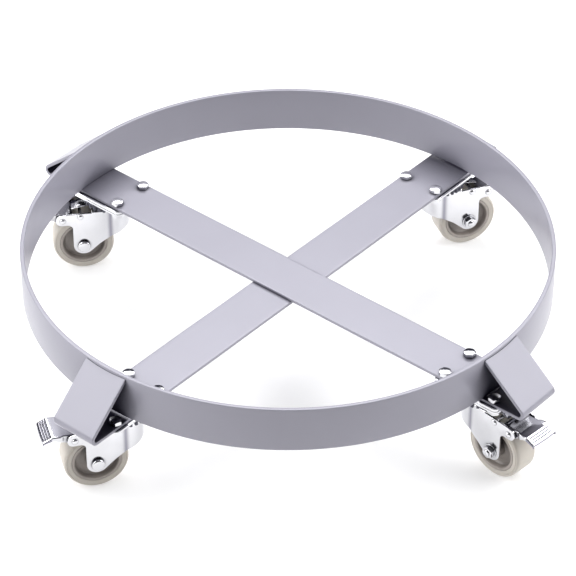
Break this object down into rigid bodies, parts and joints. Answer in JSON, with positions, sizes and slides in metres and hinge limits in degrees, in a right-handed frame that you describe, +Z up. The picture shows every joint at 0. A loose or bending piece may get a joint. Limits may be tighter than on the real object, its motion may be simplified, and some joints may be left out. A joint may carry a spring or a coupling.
{
  "type": "drum dolly",
  "caption": "Round drum dolly: a steel hoop on crossed flat bars with folded corner brackets, carried on swivel casters with total-lock brake pedals.",
  "frame": {"origin": "on the floor, under the centre of the hoop", "axes": "+Z up; +Y to the rear, away from the front pair of casters; the bars lie at 45 degrees to X and Y"},
  "size_m": [0.62, 0.62, 0.1685],
  "materials": {
    "paint": "satin light grey enamel",
    "plated": "bright zinc plate on pressed steel",
    "fastener": "bright zinc plate",
    "tread": "smooth warm grey",
    "hub": "satin dark taupe"
  },
  "bodies": {
    "frame": {"hoop": "paint", "upper_cross_bar": "paint", "lower_cross_bar": "paint", "front_right_spacer_plate": "plated", "front_right_mounting_plate": "plated", "front_right_king_pin": "plated", "front_right_ball_race": "plated", "front_right_plate_bolt_1": "fastener", "front_right_plate_bolt_2": "fastener", "front_right_plate_bolt_3": "fastener", "front_right_plate_bolt_4": "fastener", "rear_right_mounting_plate": "plated", "rear_right_king_pin": "plated", "rear_right_ball_race": "plated", "rear_right_plate_bolt_1": "fastener", "rear_right_plate_bolt_2": "fastener", "rear_right_plate_bolt_3": "fastener", "rear_right_plate_bolt_4": "fastener", "rear_left_spacer_plate": "plated", "rear_left_mounting_plate": "plated", "rear_left_king_pin": "plated", "rear_left_ball_race": "plated", "rear_left_plate_bolt_1": "fastener", "rear_left_plate_bolt_2": "fastener", "rear_left_plate_bolt_3": "fastener", "rear_left_plate_bolt_4": "fastener", "front_left_mounting_plate": "plated", "front_left_king_pin": "plated", "front_left_ball_race": "plated", "front_left_plate_bolt_1": "fastener", "front_left_plate_bolt_2": "fastener", "front_left_plate_bolt_3": "fastener", "front_left_plate_bolt_4": "fastener"},
    "front_right_fork": {"front_right_fork": "plated", "front_right_axle_bolt": "fastener", "front_right_pedal_pin": "fastener"},
    "front_right_wheel": {"front_right_tyre": "tread", "front_right_hub": "hub"},
    "front_right_pedal": {"front_right_brake_pedal": "plated"},
    "rear_right_fork": {"rear_right_fork": "plated", "rear_right_axle_bolt": "fastener", "rear_right_pedal_pin": "fastener"},
    "rear_right_wheel": {"rear_right_tyre": "tread", "rear_right_hub": "hub"},
    "rear_right_pedal": {"rear_right_brake_pedal": "plated"},
    "rear_left_fork": {"rear_left_fork": "plated", "rear_left_axle_bolt": "fastener", "rear_left_pedal_pin": "fastener"},
    "rear_left_wheel": {"rear_left_tyre": "tread", "rear_left_hub": "hub"},
    "rear_left_pedal": {"rear_left_brake_pedal": "plated"},
    "front_left_fork": {"front_left_fork": "plated", "front_left_axle_bolt": "fastener", "front_left_pedal_pin": "fastener"},
    "front_left_wheel": {"front_left_tyre": "tread", "front_left_hub": "hub"},
    "front_left_pedal": {"front_left_brake_pedal": "plated"}
  },
  "joints": [
    {"name": "front_right_swivel", "type": "hinge", "parent": "frame", "child": "front_right_fork", "pos_m": [0.20188, -0.20188, 0.09], "axis": [0, 0, 1], "continuous": true},
    {"name": "front_right_wheel_roll", "type": "hinge", "parent": "front_right_fork", "child": "front_right_wheel", "pos_m": [0.22438, -0.22869, 0.0375], "axis": [0.766, 0.6428, 0], "continuous": true},
    {"name": "front_right_brake_press", "type": "hinge", "parent": "front_right_fork", "child": "front_right_pedal", "pos_m": [0.24013, -0.24746, 0.0755], "axis": [0.766, 0.6428, 0], "range_deg": [0, 18]},
    {"name": "rear_right_swivel", "type": "hinge", "parent": "frame", "child": "rear_right_fork", "pos_m": [0.20188, 0.20188, 0.09], "axis": [0, 0, 1], "continuous": true},
    {"name": "rear_right_wheel_roll", "type": "hinge", "parent": "rear_right_fork", "child": "rear_right_wheel", "pos_m": [0.23552, 0.21153, 0.0375], "axis": [-0.2756, 0.9613, 0], "continuous": true},
    {"name": "rear_right_brake_press", "type": "hinge", "parent": "rear_right_fork", "child": "rear_right_pedal", "pos_m": [0.25907, 0.21828, 0.0755], "axis": [-0.2756, 0.9613, 0], "range_deg": [0, 18]},
    {"name": "rear_left_swivel", "type": "hinge", "parent": "frame", "child": "rear_left_fork", "pos_m": [-0.20188, 0.20188, 0.09], "axis": [0, 0, 1], "continuous": true},
    {"name": "rear_left_wheel_roll", "type": "hinge", "parent": "rear_left_fork", "child": "rear_left_wheel", "pos_m": [-0.23686, 0.20066, 0.0375], "axis": [0.0349, -0.9994, 0], "continuous": true},
    {"name": "rear_left_brake_press", "type": "hinge", "parent": "rear_left_fork", "child": "rear_left_pedal", "pos_m": [-0.26134, 0.1998, 0.0755], "axis": [0.0349, -0.9994, 0], "range_deg": [0, 18]},
    {"name": "front_left_swivel", "type": "hinge", "parent": "frame", "child": "front_left_fork", "pos_m": [-0.20188, -0.20188, 0.09], "axis": [0, 0, 1], "continuous": true},
    {"name": "front_left_wheel_roll", "type": "hinge", "parent": "front_left_fork", "child": "front_left_wheel", "pos_m": [-0.23624, -0.20856, 0.0375], "axis": [0.1908, -0.9816, 0], "continuous": true},
    {"name": "front_left_brake_press", "type": "hinge", "parent": "front_left_fork", "child": "front_left_pedal", "pos_m": [-0.26029, -0.21323, 0.0755], "axis": [0.1908, -0.9816, 0], "range_deg": [0, 18]}
  ]
}
